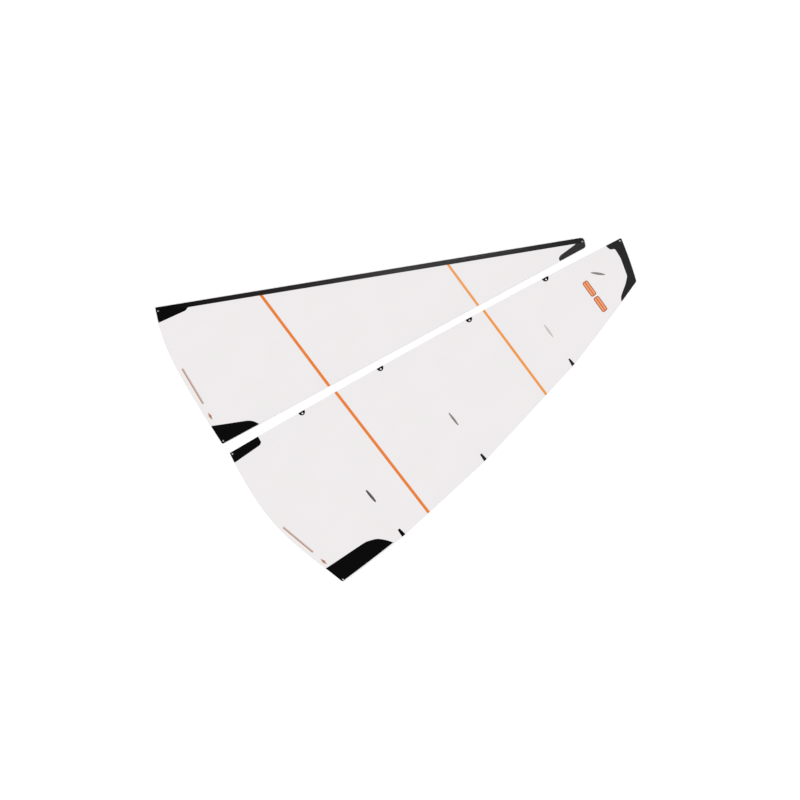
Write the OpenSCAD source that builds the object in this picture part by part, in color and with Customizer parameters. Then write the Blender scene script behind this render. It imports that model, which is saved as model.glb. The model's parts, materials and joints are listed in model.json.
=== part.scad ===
// Sail set of a one-metre radio-controlled model yacht, laid out flat.
// Millimetres, +Z up. +X runs along the mainsail's luff from tack to head and +Y points
// from the mainsail to the jib. The origin is under the middle of the whole set, on the
// surface that both sails lie on.
// Each sail is drawn in its own frame: origin at the tack corner, +X along the luff to
// the head, the sail itself on the -Y side.

/* [Mainsail] */
// Straight luff length from tack corner to head corner
main_luff = 1072; // [1040:1:1100]
// How far the luff bows forward of that line
main_luff_round = 7.5; // [2:0.5:12]
// Clew corner, distance along the luff direction
main_clew_x = 89; // [75:1:100]
// Clew corner, distance aft of the luff
main_clew_y = 403; // [385:1:410]
// Width of the head, measured across the luff
main_head_width = 109; // [90:1:120]
// How far the aft end of the head sits below the head corner
main_head_rake = 18; // [8:1:30]
// How far the leech stands aft of its straight line
main_roach = 41; // [30:1:46]
// Where the lower seam meets the luff, from the tack
main_lower_seam = 294.5; // [270:0.5:310]
// Where the upper seam meets the luff, from the tack
main_upper_seam = 700; // [690:1:730]
// Lean of the lower seam towards the head, from square to the luff
main_lower_lean = 8.9; // [5:0.1:11]
// Lean of the upper seam towards the head, from square to the luff
main_upper_lean = 7.9; // [5:0.1:11]
// First luff hole, from the tack
luff_hole_1 = 199; // [150:1:220]
// Second luff hole, from the tack
luff_hole_2 = 415; // [360:1:450]
// Third luff hole, from the tack
luff_hole_3 = 658; // [600:1:665]
// Fourth luff hole, from the tack
luff_hole_4 = 866; // [800:1:900]

/* [Jib] */
// Straight luff length from tack corner to head corner
jib_luff = 1042; // [1010:1:1060]
// Clew corner, distance along the luff direction
jib_clew_x = 106; // [95:1:115]
// Clew corner, distance aft of the luff
jib_clew_y = 349; // [335:1:352]
// Width of the head, measured across the luff
jib_head_width = 24; // [22:1:30]
// Where the lower seam meets the luff, from the tack
jib_lower_seam = 249; // [235:1:260]
// Where the upper seam meets the luff, from the tack
jib_upper_seam = 704; // [690:1:730]
// Lean of the lower seam towards the head, from square to the luff
jib_lower_lean = 27.6; // [24:0.1:30]
// Lean of the upper seam towards the head, from square to the luff
jib_upper_lean = 27; // [22:0.1:30]
// Width of the luff sleeve, front fold to rear edge
sleeve_width = 12; // [11:0.5:16]
// Radius of the stay tunnel at the front of the sleeve
tunnel_r = 1; // [0.6:0.1:1.2]

/* [Layout] */
// How far the jib's tack lies towards the head, from the mainsail's tack
jib_tack_x = 12; // [0:1:25]
// How far the jib's tack lies to the side, from the mainsail's tack
jib_tack_y = 392; // [392:1:440]
// Angle between the two luffs
jib_angle = 19.5; // [19.2:0.1:19.8]

/* [Materials] */
// Film thickness
film_t = 0.1; // [0.05:0.01:0.15]
// Thickness of corner patches, hole patches and sleeve tape
patch_t = 0.15; // [0.1:0.01:0.2]
// Thickness of the orange seam tape
seam_tape_t = 0.1; // [0.05:0.01:0.15]
// Width of the tape over each sail's lower seam
lower_tape_width = 7; // [5:0.5:9]
// Width of the tape over each sail's upper seam
upper_tape_width = 6; // [5:0.5:9]
// Thickness of the printed marks
mark_t = 0.05; // [0.03:0.01:0.1]
// Thickness of a batten
batten_t = 0.4; // [0.2:0.05:0.45]
// Width of a batten
batten_width = 5; // [3:0.5:5.5]

/* [Eyelets and holes] */
// Bore radius of a corner eyelet
eyelet_bore_r = 1.25; // [1:0.05:1.3]
// Wall of the eyelet's barrel
eyelet_wall = 0.3; // [0.2:0.05:0.35]
// Radius of the eyelet's rolled rims
eyelet_rim_r = 2.3; // [2:0.05:2.4]
// Thickness of each rim
eyelet_rim_t = 0.3; // [0.2:0.05:0.4]
// Radius of the punched holes along the mainsail's luff
luff_hole_r = 2.1; // [1.5:0.1:2.2]

/* [Hidden] */
$fn = 64;
reach = 2000;           // longer than either sail, for the cutting shapes
curve_steps = 14;       // straight pieces in each curved sail edge
corner_steps = 4;       // straight pieces in each rounded corner
fold_gap = 0.3;         // clearance between two panels at their fold line
tunnel_wall = 0.2;      // sleeve tape around the stay tunnel
film_setback = 3;       // how far the jib film's front edge stops behind the sleeve's fold

jib_tack = [jib_tack_x, jib_tack_y];
luff_hole_stations = [luff_hole_1, luff_hole_2, luff_hole_3, luff_hole_4];
// Luff station and lean of each seam, the lower one first
main_seams = [[main_lower_seam, main_lower_lean], [main_upper_seam, main_upper_lean]];
jib_seams = [[jib_lower_seam, jib_lower_lean], [jib_upper_seam, jib_upper_lean]];

// Film mid-planes: the lowest point of each sail lies on the surface, z = 0
main_z = eyelet_rim_t + patch_t + film_t / 2;
jib_z = tunnel_r + tunnel_wall;

LOWER = 0;
UPPER = 1;

CHARCOAL = [0.15, 0.15, 0.16];
BLACK = [0.05, 0.05, 0.06];
FILM = [0.93, 0.92, 0.93, 0.95];
ORANGE = [0.91, 0.45, 0.24];
STEEL = [0.78, 0.79, 0.80];
GREY = [0.38, 0.37, 0.37];

// ---- Geometry helpers ----

function unit(v) = v / norm(v);
function turned(p, angle) =
    [p[0] * cos(angle) - p[1] * sin(angle), p[0] * sin(angle) + p[1] * cos(angle)];

// Point at t of a quadratic or cubic Bezier curve
function quadratic(a, b, c, t) = (1 - t) * (1 - t) * a + 2 * t * (1 - t) * b + t * t * c;
function cubic(a, b, c, d, t) = (1 - t) * quadratic(a, b, c, t) + t * quadratic(b, c, d, t);

// Points between a and b on a curve that bows by rise to the left of the way there
function bowed_edge(a, b, rise) =
    let(side = turned(unit(b - a), 90))
    [for (i = [1 : curve_steps - 1])
        let(t = i / curve_steps) a + (b - a) * t + side * 4 * rise * t * (1 - t)];

// Points between the ends of a cubic curve
function cubic_edge(a, b, c, d) =
    [for (i = [1 : curve_steps - 1]) cubic(a, b, c, d, i / curve_steps)];

// A corner at b, between a and c, that leaves each edge a distance cut before b
function rounded_corner(a, b, c, cut) =
    let(p = b + cut * unit(a - b), q = b + cut * unit(c - b))
    [for (i = [0 : corner_steps]) quadratic(p, b, q, i / corner_steps)];

// A closed outline: corner, then the points of the edge to the next corner, and so on.
// Rounding a corner takes its cut off each edge beside it.
function sail_outline(corners, cuts, edges) =
    [for (i = [0 : len(corners) - 1])
        let(before = edges[(i + len(corners) - 1) % len(corners)], after = edges[i])
        each concat(
            rounded_corner(before[len(before) - 1], corners[i], after[0], cuts[i]), after)];

// A polygon whose corners are all rounded
function rounded(points, cut) =
    let(n = len(points))
    [for (i = [0 : n - 1])
        each rounded_corner(points[(i + n - 1) % n], points[i], points[(i + 1) % n], cut)];

// The point at a distance inset from both edges of the corner at b
function inset_corner(a, b, c, inset) =
    let(p = unit(a - b), q = unit(c - b), half = acos(p * q) / 2)
    b + unit(p + q) * inset / sin(half);

// ---- Mainsail outline ----

main_tack = [0, 0];
main_head = [main_luff, 0];
main_peak = [main_luff - main_head_rake, -main_head_width];
main_clew = [main_clew_x, -main_clew_y];
// The foot leaves the tack almost square to the luff and runs straight into the clew
main_foot_from_clew = main_clew + [-62, 151];
main_foot_to_tack = main_tack + [-8, -208];

// The leech runs nearly straight between the battens that hold it out. Each batten meets it
// at a share of the way from clew to peak, and a share of the roach outside that line.
batten_places = [[0.181, 0.632], [0.445, 0.978], [0.753, 0.783]];
leech_way = unit(main_peak - main_clew);
leech_length = norm(main_peak - main_clew);
main_leech = [for (place = batten_places)
    main_clew + place[0] * leech_length * leech_way
        + place[1] * main_roach * turned(leech_way, -90)];
// How far each stretch of the leech and the head edge still bow outwards
leech_rises = [1, 0.3, 0.3, 1.4];
head_edge_rise = 1.5;

main_corners = concat([main_tack, main_clew], main_leech, [main_peak, main_head]);
main_outline = sail_outline(main_corners, [3, 3, 6, 6, 6, 3, 3], [
    cubic_edge(main_tack, main_foot_to_tack, main_foot_from_clew, main_clew),
    bowed_edge(main_clew, main_leech[0], -leech_rises[0]),
    bowed_edge(main_leech[0], main_leech[1], -leech_rises[1]),
    bowed_edge(main_leech[1], main_leech[2], -leech_rises[2]),
    bowed_edge(main_leech[2], main_peak, -leech_rises[3]),
    bowed_edge(main_peak, main_head, -head_edge_rise),
    bowed_edge(main_head, main_tack, -main_luff_round)
]);

// ---- Jib outline ----

jib_tack_corner = [0, 0];
jib_head = [jib_luff, 0];
jib_peak = [jib_luff + 0.5, -jib_head_width];
jib_clew = [jib_clew_x, -jib_clew_y];
jib_foot_from_clew = jib_clew + [-100, 231];
jib_foot_to_tack = jib_tack_corner + [2, -73];
jib_head_cut = 10;

jib_corners = [jib_tack_corner, jib_clew, jib_peak, jib_head];
jib_outline = sail_outline(jib_corners, [3, 3, 5, jib_head_cut], [
    cubic_edge(jib_tack_corner, jib_foot_to_tack, jib_foot_from_clew, jib_clew),
    [(jib_clew + jib_peak) / 2],
    [(jib_peak + jib_head) / 2],
    [(jib_head + jib_tack_corner) / 2]
]);

// ---- Layout: the middle of the set's outline is the origin ----

laid_jib = [for (p = concat(jib_outline, jib_corners)) jib_tack + turned(p, -jib_angle)];
all_x = [for (p = concat(main_outline, laid_jib)) p[0]];
all_y = [for (p = concat(main_outline, laid_jib)) p[1]];
middle = [(min(all_x) + max(all_x)) / 2, (min(all_y) + max(all_y)) / 2];

module on_mainsail() {
    translate([-middle[0], -middle[1], main_z]) children();
}

module on_jib() {
    translate([jib_tack[0] - middle[0], jib_tack[1] - middle[1], jib_z])
        rotate(-jib_angle)
            children();
}

// ---- Layers: z = 0 is the film's mid-plane in each sail's frame ----

module film_layer() {
    translate([0, 0, -film_t / 2]) linear_extrude(film_t) children();
}

module top_layer(thickness) {
    translate([0, 0, film_t / 2]) linear_extrude(thickness) children();
}

module under_layer(thickness) {
    translate([0, 0, -film_t / 2 - thickness]) linear_extrude(thickness) children();
}

module both_layers(thickness) {
    top_layer(thickness) children();
    under_layer(thickness) children();
}

// ---- Seams: local x = 0 is the seam's centre line, +x towards the head ----

module seam_strip(seam, from, to) {
    translate([seam[0], 0])
        rotate(seam[1])
            translate([from, -reach / 2])
                square([to - from, reach]);
}

half_tapes = [lower_tape_width, upper_tape_width] / 2;

// Everything below the fold line on the tack side of the lower seam
module lower_part(seams) {
    seam_strip(seams[LOWER], -reach, -half_tapes[LOWER] - fold_gap);
}

// Between the two fold lines, both seam tapes included
module middle_part(seams) {
    intersection() {
        seam_strip(seams[LOWER], -half_tapes[LOWER], reach);
        seam_strip(seams[UPPER], -reach, half_tapes[UPPER]);
    }
}

// Everything above the fold line on the head side of the upper seam
module upper_part(seams) {
    seam_strip(seams[UPPER], half_tapes[UPPER] + fold_gap, reach);
}

// ---- Eyelets ----

eyelet_inset = 5;
clew_eyelet_inset = 5.6;
// The eyelets near the jib's sleeve sit in the tape, behind the tunnel
sleeve_eyelet_setback = 9.4;
eyelet_height = film_t + 2 * patch_t + 2 * eyelet_rim_t;
eyelet_barrel_r = eyelet_bore_r + eyelet_wall;

main_tack_eye =
    inset_corner(main_head, main_tack, main_foot_to_tack, eyelet_inset);
main_clew_eye =
    inset_corner(main_foot_from_clew, main_clew, main_leech[0], clew_eyelet_inset);
main_head_eye =
    inset_corner(main_tack, main_head, main_peak, eyelet_inset);
jib_tack_eye = [eyelet_inset, -sleeve_eyelet_setback];
jib_head_eye = [jib_luff - eyelet_inset, -sleeve_eyelet_setback];
jib_clew_eye = inset_corner(jib_foot_from_clew, jib_clew, jib_peak, clew_eyelet_inset);

module eyelet_at(place) {
    color(STEEL)
        translate([place[0], place[1], -eyelet_height / 2])
            rotate_extrude()
                eyelet_profile();
}

module eyelet_profile() {
    translate([eyelet_bore_r, 0]) square([eyelet_wall, eyelet_height]);
    for (z = [0, eyelet_height - eyelet_rim_t])
        translate([eyelet_bore_r, z]) square([eyelet_rim_r - eyelet_bore_r, eyelet_rim_t]);
}

// The holes that eyelet barrels pass through
module punched_at(places, radius) {
    for (place = places)
        translate([place[0], place[1], -reach / 2]) cylinder(h = reach, r = radius);
}

// ---- Mainsail panels ----

luff_hole_setback = 5.2;
luff_holes = [for (x = luff_hole_stations)
    let(t = x / main_luff) [x, 4 * main_luff_round * t * (1 - t) - luff_hole_setback]];
main_eyes = [main_tack_eye, main_clew_eye, main_head_eye];

module mainsail_film() {
    color(FILM)
        on_mainsail()
            difference() {
                film_layer()
                    intersection() {
                        polygon(main_outline);
                        children();
                    }
                punched_at(main_eyes, eyelet_barrel_r);
                punched_at(luff_holes, luff_hole_r);
            }
}

module mainsail_lower_panel() {
    mainsail_film() lower_part(main_seams);
}

module mainsail_middle_panel() {
    mainsail_film() middle_part(main_seams);
}

module mainsail_upper_panel() {
    mainsail_film() upper_part(main_seams);
}

module mainsail_seam_tape(which) {
    color(ORANGE)
        on_mainsail()
            top_layer(seam_tape_t)
                intersection() {
                    polygon(main_outline);
                    seam_strip(main_seams[which], -half_tapes[which], half_tapes[which]);
                }
}

// ---- Mainsail corner patches: black cloth on both faces, trimmed to the sail's edge ----

// How much is cut from each corner of a patch to round it
tack_corner_cut = 2;
head_corner_cut = 4;
jib_clew_corner_cut = 6;
main_clew_corner_cut = 8;
clew_patch_margin = 2.8;
// How far a patch is drawn past the sail's edge before trimming
outside = 40;

tack_patch_outline = [
    main_tack + [-outside, outside],
    main_tack + [-outside, -26],
    main_tack + [0, -26],
    main_tack + [73, -18.3],
    main_tack + [79, -13.5],
    main_tack + [79, outside]
];

clew_patch_outline = [
    main_clew + [-outside, 52],
    main_clew + [-21, 49],
    main_clew + [95, 59.3],
    main_clew + [121.5, 53.2],
    main_clew + [138, 41],
    main_clew + [152, 26.5],
    main_clew + [184, -outside],
    main_clew + [-outside, -outside]
];

head_patch_outline = [
    main_head + [-41.8, 10],
    main_head + [-40.8, -2],
    main_head + [-36.5, -12.5],
    main_head + [-25.8, -15.5],
    main_head + [-24.3, -41],
    main_head + [-27.3, -61.5],
    main_head + [-31.3, -87.5],
    main_head + [-44, -102],
    main_head + [-67, -122],
    main_head + [-72.8, -132.5],
    main_head + [-64, -160],
    main_head + [outside, -160],
    main_head + [outside, 10]
];

// The patch is trimmed by the sail's outline, moved by a vector
module mainsail_patch(outline, cut, eye, moved = [0, 0]) {
    on_mainsail()
        difference() {
            both_layers(patch_t)
                intersection() {
                    translate(moved) polygon(main_outline);
                    polygon(rounded(outline, cut));
                }
            punched_at([eye], eyelet_barrel_r);
        }
}

module mainsail_tack_patch() {
    color(BLACK) mainsail_patch(tack_patch_outline, tack_corner_cut, main_tack_eye);
}

// The clew patch leaves a narrow strip of bare film along the leech
module mainsail_clew_patch() {
    inward = clew_patch_margin * turned(unit(main_leech[0] - main_clew), 90);
    color(BLACK)
        mainsail_patch(clew_patch_outline, main_clew_corner_cut, main_clew_eye, inward);
}

module mainsail_head_patch() {
    color(CHARCOAL) mainsail_patch(head_patch_outline, head_corner_cut, main_head_eye);
}

module mainsail_tack_eyelet() {
    on_mainsail() eyelet_at(main_tack_eye);
}

module mainsail_clew_eyelet() {
    on_mainsail() eyelet_at(main_clew_eye);
}

module mainsail_head_eyelet() {
    on_mainsail() eyelet_at(main_head_eye);
}

// ---- Luff hole patches: a half-round of tape on each face around a punched hole ----

hole_patch_length = 16.5;
hole_patch_depth = 9.7;

module luff_hole_patch(index) {
    hole = luff_holes[index];
    color(BLACK)
        on_mainsail()
            difference() {
                both_layers(patch_t)
                    intersection() {
                        polygon(main_outline);
                        half_round(hole + [0, luff_hole_setback]);
                    }
                punched_at([hole], luff_hole_r);
            }
}

// The half-round reaches hole_patch_depth in from the luff
module half_round(luff_point) {
    translate(luff_point)
        scale([1, 2 * hole_patch_depth / hole_patch_length])
            circle(d = hole_patch_length, $fn = 32);
}

// ---- Battens: glued under the film, from an inner tip out to the leech ----

// Inner tip of each batten, the one nearest the tack first
batten_tips = [[244, -236], [507.3, -169], [809.5, -93.5], [968, -38]];
// The last batten ends just short of the head patch, the others at the leech
batten_ends = concat(main_leech, [main_head + [-40, -85.5]]);
batten_overruns = [6, 6, 6, 0];     // drawn past each end, before trimming at the leech
tip_patch_lengths = [36, 37, 37, 35];
tip_patch_blunting = [8, 6, 4, 3];      // taken off each point of the leaf
tip_patch_widths = [6.5, 5.3, 5, 5.8];
batten_tip_setback = 1;     // from the patch's end to the batten's end
leech_tab_lengths = [19.5, 18.5, 18.5];
leech_tab_points = [6, 5, 3.5];         // width of each tab's blunt inner end
leech_tab_widths = [10, 8.8, 8.8];      // width at the leech

// Local frame at a batten's inner tip, +x along the batten to the leech
module along_batten(index) {
    way = batten_ends[index] - batten_tips[index];
    translate(batten_tips[index]) rotate(atan2(way[1], way[0])) children();
}

function batten_length(index) = norm(batten_ends[index] - batten_tips[index]);

module batten(index) {
    color(FILM)
        on_mainsail()
            under_layer(batten_t)
                intersection() {
                    polygon(main_outline);
                    along_batten(index)
                        translate([batten_tip_setback, -batten_width / 2])
                            square([
                                batten_length(index) + batten_overruns[index]
                                    - batten_tip_setback,
                                batten_width
                            ]);
                }
}

// A leaf-shaped patch over the batten's inner tip: the overlap of two large circles, with
// both points cut off square
module batten_tip_patch(index) {
    length = tip_patch_lengths[index];
    width = tip_patch_widths[index];
    leaf = length + 2 * tip_patch_blunting[index];
    radius = (leaf * leaf + width * width) / (4 * width);
    color(GREY)
        on_mainsail()
            top_layer(patch_t)
                along_batten(index)
                    intersection() {
                        translate([0, -width]) square([length, 2 * width]);
                        intersection_for(side = [-1, 1])
                            translate([length / 2, side * (radius - width / 2)])
                                circle(r = radius, $fn = 360);
                    }
}

// A black wedge of tape where the batten meets the leech, wider at its outer end
module batten_leech_tab(index) {
    wide = batten_length(index);
    start = wide - leech_tab_lengths[index];
    end = wide + batten_overruns[index];
    point = leech_tab_points[index] / 2;
    half = leech_tab_widths[index] / 2;
    color(BLACK)
        on_mainsail()
            top_layer(patch_t)
                intersection() {
                    polygon(main_outline);
                    along_batten(index)
                        polygon([
                            [start, -point],
                            [start, point],
                            [wide, half],
                            [end, half],
                            [end, -half],
                            [wide, -half]
                        ]);
                }
}

// ---- Printed marks ----

// A straight line of paint from one point to another
module stroke(from, to, width) {
    way = to - from;
    translate(from)
        rotate(atan2(way[1], way[0]))
            translate([0, -width / 2])
                square([norm(way), width]);
}

main_stripe_from = [26, -218];
main_stripe_to = [60, -305];
jib_stripe_from = [39.5, -155.5];
jib_stripe_to = [75.5, -247];
stripe_width = 3;
pinstripe_width = 1.2;
pinstripe_offset = 2.8;
lozenge_gap = 34;       // from the stripe's end to the middle of the lozenge beyond it
lozenge_length = 22;
lozenge_width = 7;

// A plain lozenge in line with a stripe, past the stripe's end
module lozenge(from, to) {
    way = unit(to - from);
    side = turned(way, 90);
    centre = to + way * lozenge_gap;
    polygon([
        centre - way * lozenge_length / 2,
        centre + side * lozenge_width / 2,
        centre + way * lozenge_length / 2,
        centre - side * lozenge_width / 2
    ]);
}

module mainsail_foot_stripe() {
    color(ORANGE)
        on_mainsail()
            top_layer(mark_t) {
                stroke(main_stripe_from, main_stripe_to, stripe_width);
                lozenge(main_stripe_from, main_stripe_to);
            }
}

module mainsail_foot_pinstripe() {
    inward = turned(unit(main_stripe_to - main_stripe_from), 90) * pinstripe_offset;
    color(GREY)
        on_mainsail()
            top_layer(mark_t)
                stroke(main_stripe_from + inward, main_stripe_to + inward, pinstripe_width);
}

// Two plain bars end to end across the sail below the head
mark_centre = [949.5, -92.6];
mark_lean = 7;
mark_pitch = 45.5;
bar_length = 41.5;
bar_width = 15;
bar_corner_cut = 5;

module bar() {
    far = [bar_length, bar_width] / 2;
    polygon(rounded([-far, [far[0], -far[1]], far, [-far[0], far[1]]], bar_corner_cut));
}

module mainsail_head_mark() {
    color(ORANGE)
        on_mainsail()
            top_layer(mark_t)
                translate(mark_centre)
                    rotate(mark_lean - 90)
                        for (side = [-1, 1])
                            translate([side * mark_pitch / 2, 0]) bar();
}

// ---- Jib panels ----

jib_eyes = [jib_tack_eye, jib_clew_eye, jib_head_eye];

// Everything on the sail side of a line that runs parallel to the luff
module aft_of(setback) {
    translate([-reach / 2, -reach - setback]) square([2 * reach, reach]);
}

module jib_film() {
    color(FILM)
        on_jib()
            difference() {
                film_layer()
                    intersection() {
                        polygon(jib_outline);
                        aft_of(film_setback);
                        children();
                    }
                punched_at(jib_eyes, eyelet_barrel_r);
            }
}

module jib_lower_panel() {
    jib_film() lower_part(jib_seams);
}

module jib_middle_panel() {
    jib_film() middle_part(jib_seams);
}

module jib_upper_panel() {
    jib_film() upper_part(jib_seams);
}

module jib_seam_tape(which) {
    color(ORANGE)
        on_jib()
            top_layer(seam_tape_t)
                intersection() {
                    polygon(jib_outline);
                    aft_of(sleeve_width);
                    seam_strip(jib_seams[which], -half_tapes[which], half_tapes[which]);
                }
}

// ---- Luff sleeve: tape folded around the stay tunnel and stuck to both faces of the film ----

module sleeve_profile() {
    difference() {
        union() {
            translate([-jib_z, 0]) circle(r = tunnel_r + tunnel_wall);
            for (z = [film_t / 2, -film_t / 2 - patch_t])
                translate([-sleeve_width, z]) square([sleeve_width - jib_z, patch_t]);
            translate([-film_setback, -film_t / 2]) square([film_setback - jib_z, film_t]);
        }
        translate([-jib_z, 0]) circle(r = tunnel_r);
    }
}

// What the rounded head corner takes off the end of the sleeve
module head_corner_waste() {
    translate([0, 0, -reach / 2])
        linear_extrude(reach)
            polygon(concat(
                rounded_corner(jib_peak, jib_head, jib_tack_corner, jib_head_cut),
                [jib_head + [-jib_head_cut, 1], jib_head + [2, 1], jib_head + [2, -jib_head_cut]]
            ));
}

module luff_sleeve() {
    color(CHARCOAL)
        on_jib()
            difference() {
                intersection() {
                    rotate([90, 0, 90]) linear_extrude(jib_luff) sleeve_profile();
                    translate([0, 0, -reach / 2]) linear_extrude(reach) children();
                }
                punched_at(jib_eyes, eyelet_barrel_r);
                head_corner_waste();
            }
}

module jib_lower_luff_sleeve() {
    luff_sleeve() lower_part(jib_seams);
}

module jib_middle_luff_sleeve() {
    luff_sleeve() middle_part(jib_seams);
}

module jib_upper_luff_sleeve() {
    luff_sleeve() upper_part(jib_seams);
}

// ---- Jib corner patches, which butt against the sleeve's rear edge ----

jib_tack_patch_outline = [
    [-outside, 0],
    [-outside, -37.5],
    [3, -37.2],
    [70, -19],
    [80, -10],
    [80, 0]
];

jib_clew_patch_outline = [
    jib_clew + [-outside, 47],
    jib_clew + [-19, 46.7],
    jib_clew + [71, 45.6],
    jib_clew + [84, 41.5],
    jib_clew + [97, 31.5],
    jib_clew + [133, -outside],
    jib_clew + [-outside, -outside]
];

jib_head_patch_outline = [
    jib_head + [-21.5, 0],
    jib_head + [-21.5, -12.5],
    jib_head + [-63.3, -34],
    jib_head + [-68.3, -41],
    jib_head + [-62, -55],
    jib_head + [outside, -55],
    jib_head + [outside, 0]
];

module jib_patch(outline, cut) {
    on_jib()
        difference() {
            both_layers(patch_t)
                intersection() {
                    polygon(jib_outline);
                    aft_of(sleeve_width);
                    polygon(rounded(outline, cut));
                }
            punched_at([jib_clew_eye], eyelet_barrel_r);
        }
}

module jib_tack_patch() {
    color(BLACK) jib_patch(jib_tack_patch_outline, tack_corner_cut);
}

module jib_clew_patch() {
    color(BLACK) jib_patch(jib_clew_patch_outline, jib_clew_corner_cut);
}

module jib_head_patch() {
    color(CHARCOAL) jib_patch(jib_head_patch_outline, head_corner_cut);
}

module jib_tack_eyelet() {
    on_jib() eyelet_at(jib_tack_eye);
}

module jib_clew_eyelet() {
    on_jib() eyelet_at(jib_clew_eye);
}

module jib_head_eyelet() {
    on_jib() eyelet_at(jib_head_eye);
}

module jib_foot_stripe() {
    color(ORANGE)
        on_jib()
            top_layer(mark_t) {
                stroke(jib_stripe_from, jib_stripe_to, stripe_width);
                lozenge(jib_stripe_from, jib_stripe_to);
            }
}

module jib_foot_pinstripe() {
    inward = turned(unit(jib_stripe_to - jib_stripe_from), 90) * pinstripe_offset;
    color(GREY)
        on_jib()
            top_layer(mark_t)
                stroke(jib_stripe_from + inward, jib_stripe_to + inward, pinstripe_width);
}

mainsail_lower_panel();
mainsail_middle_panel();
mainsail_upper_panel();
mainsail_seam_tape(LOWER);  // mainsail_lower_seam_tape
mainsail_seam_tape(UPPER);  // mainsail_upper_seam_tape
mainsail_tack_patch();
mainsail_clew_patch();
mainsail_head_patch();
mainsail_tack_eyelet();
mainsail_clew_eyelet();
mainsail_head_eyelet();
luff_hole_patch(0);  // luff_hole_patch_1
luff_hole_patch(1);  // luff_hole_patch_2
luff_hole_patch(2);  // luff_hole_patch_3
luff_hole_patch(3);  // luff_hole_patch_4
batten(0);  // batten_1
batten(1);  // batten_2
batten(2);  // batten_3
batten(3);  // batten_4
batten_tip_patch(0);  // batten_tip_patch_1
batten_tip_patch(1);  // batten_tip_patch_2
batten_tip_patch(2);  // batten_tip_patch_3
batten_tip_patch(3);  // batten_tip_patch_4
batten_leech_tab(0);  // batten_leech_tab_1
batten_leech_tab(1);  // batten_leech_tab_2
batten_leech_tab(2);  // batten_leech_tab_3
mainsail_foot_stripe();
mainsail_foot_pinstripe();
mainsail_head_mark();
jib_lower_panel();
jib_middle_panel();
jib_upper_panel();
jib_seam_tape(LOWER);  // jib_lower_seam_tape
jib_seam_tape(UPPER);  // jib_upper_seam_tape
jib_lower_luff_sleeve();
jib_middle_luff_sleeve();
jib_upper_luff_sleeve();
jib_tack_patch();
jib_clew_patch();
jib_head_patch();
jib_tack_eyelet();
jib_clew_eyelet();
jib_head_eyelet();
jib_foot_stripe();
jib_foot_pinstripe();
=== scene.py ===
import json
import math

import bmesh
import bpy
import numpy as np
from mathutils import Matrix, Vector
from mathutils.geometry import delaunay_2d_cdt

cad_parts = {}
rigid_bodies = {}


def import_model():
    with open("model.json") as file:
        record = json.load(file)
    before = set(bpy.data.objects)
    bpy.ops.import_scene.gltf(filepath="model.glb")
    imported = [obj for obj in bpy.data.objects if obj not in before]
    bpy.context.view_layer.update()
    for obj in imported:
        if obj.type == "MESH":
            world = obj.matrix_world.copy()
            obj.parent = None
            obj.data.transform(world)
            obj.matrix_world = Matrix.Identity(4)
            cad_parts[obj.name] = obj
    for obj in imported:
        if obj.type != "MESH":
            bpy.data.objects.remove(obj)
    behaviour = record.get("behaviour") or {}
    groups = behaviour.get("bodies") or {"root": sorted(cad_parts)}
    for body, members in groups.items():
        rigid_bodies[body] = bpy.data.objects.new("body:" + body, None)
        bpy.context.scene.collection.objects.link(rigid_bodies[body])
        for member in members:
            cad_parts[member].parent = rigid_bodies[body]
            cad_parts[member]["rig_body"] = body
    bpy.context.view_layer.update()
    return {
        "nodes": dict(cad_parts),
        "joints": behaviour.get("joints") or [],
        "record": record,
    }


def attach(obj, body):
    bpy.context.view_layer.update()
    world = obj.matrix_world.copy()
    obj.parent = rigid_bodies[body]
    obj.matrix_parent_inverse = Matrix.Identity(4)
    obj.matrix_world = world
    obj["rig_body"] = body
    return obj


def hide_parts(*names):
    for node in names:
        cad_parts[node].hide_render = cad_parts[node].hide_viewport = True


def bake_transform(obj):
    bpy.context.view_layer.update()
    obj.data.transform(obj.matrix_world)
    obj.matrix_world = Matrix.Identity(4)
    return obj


# Looks of a laid-out suit of two film sails, a jib and a mainsail.
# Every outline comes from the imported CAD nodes. Each flat piece is rebuilt as a fine closed net
# that follows one gentle ripple per sail, so that film, patches and tapes stay stacked.

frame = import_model()

MM = 0.001
mounts = {m["name"]: m for m in frame["record"]["mounts"]}
joints = {j["name"]: j for j in frame["joints"]}

FILM_HALF = 0.05 * MM      # half the film's thickness
PATCH_T = 0.15 * MM        # thickness of cloth patches and sleeve tape
FOLD_REACH = 68 * MM       # how far the film bends into an end panel when it folds
FOLD_GAP = 0.15 * MM       # the CAD film stops this far each side of a fold line
BEND_STEP = 2.5 * MM       # the nets are no coarser than this where they bend, so that layers stay stacked
BEND_MARGIN = 8 * MM       # and this far past the bend
COLLAR = 1.1 * MM          # a ring of points lies this far outside each hole's edge
TUNNEL_BACK = 1.2 * MM     # the stay tunnel's centre lies this far aft of the jib's luff
TACK_EYELET_IN = np.array([4.81, 5.0]) * MM   # the mainsail's tack eyelet, in from its tack corner

# How coarse each kind of piece's net is
FILM_STEP = 7 * MM
TAPE_STEP = 3.5 * MM
PATCH_STEP = 3 * MM
BATTEN_STEP = 2.5 * MM
TIP_STEP = 1.5 * MM
TAB_STEP = 1.2 * MM
HEAD_MARK_STEP = 1.0 * MM
FOOT_MARK_STEP = 0.8 * MM

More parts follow.
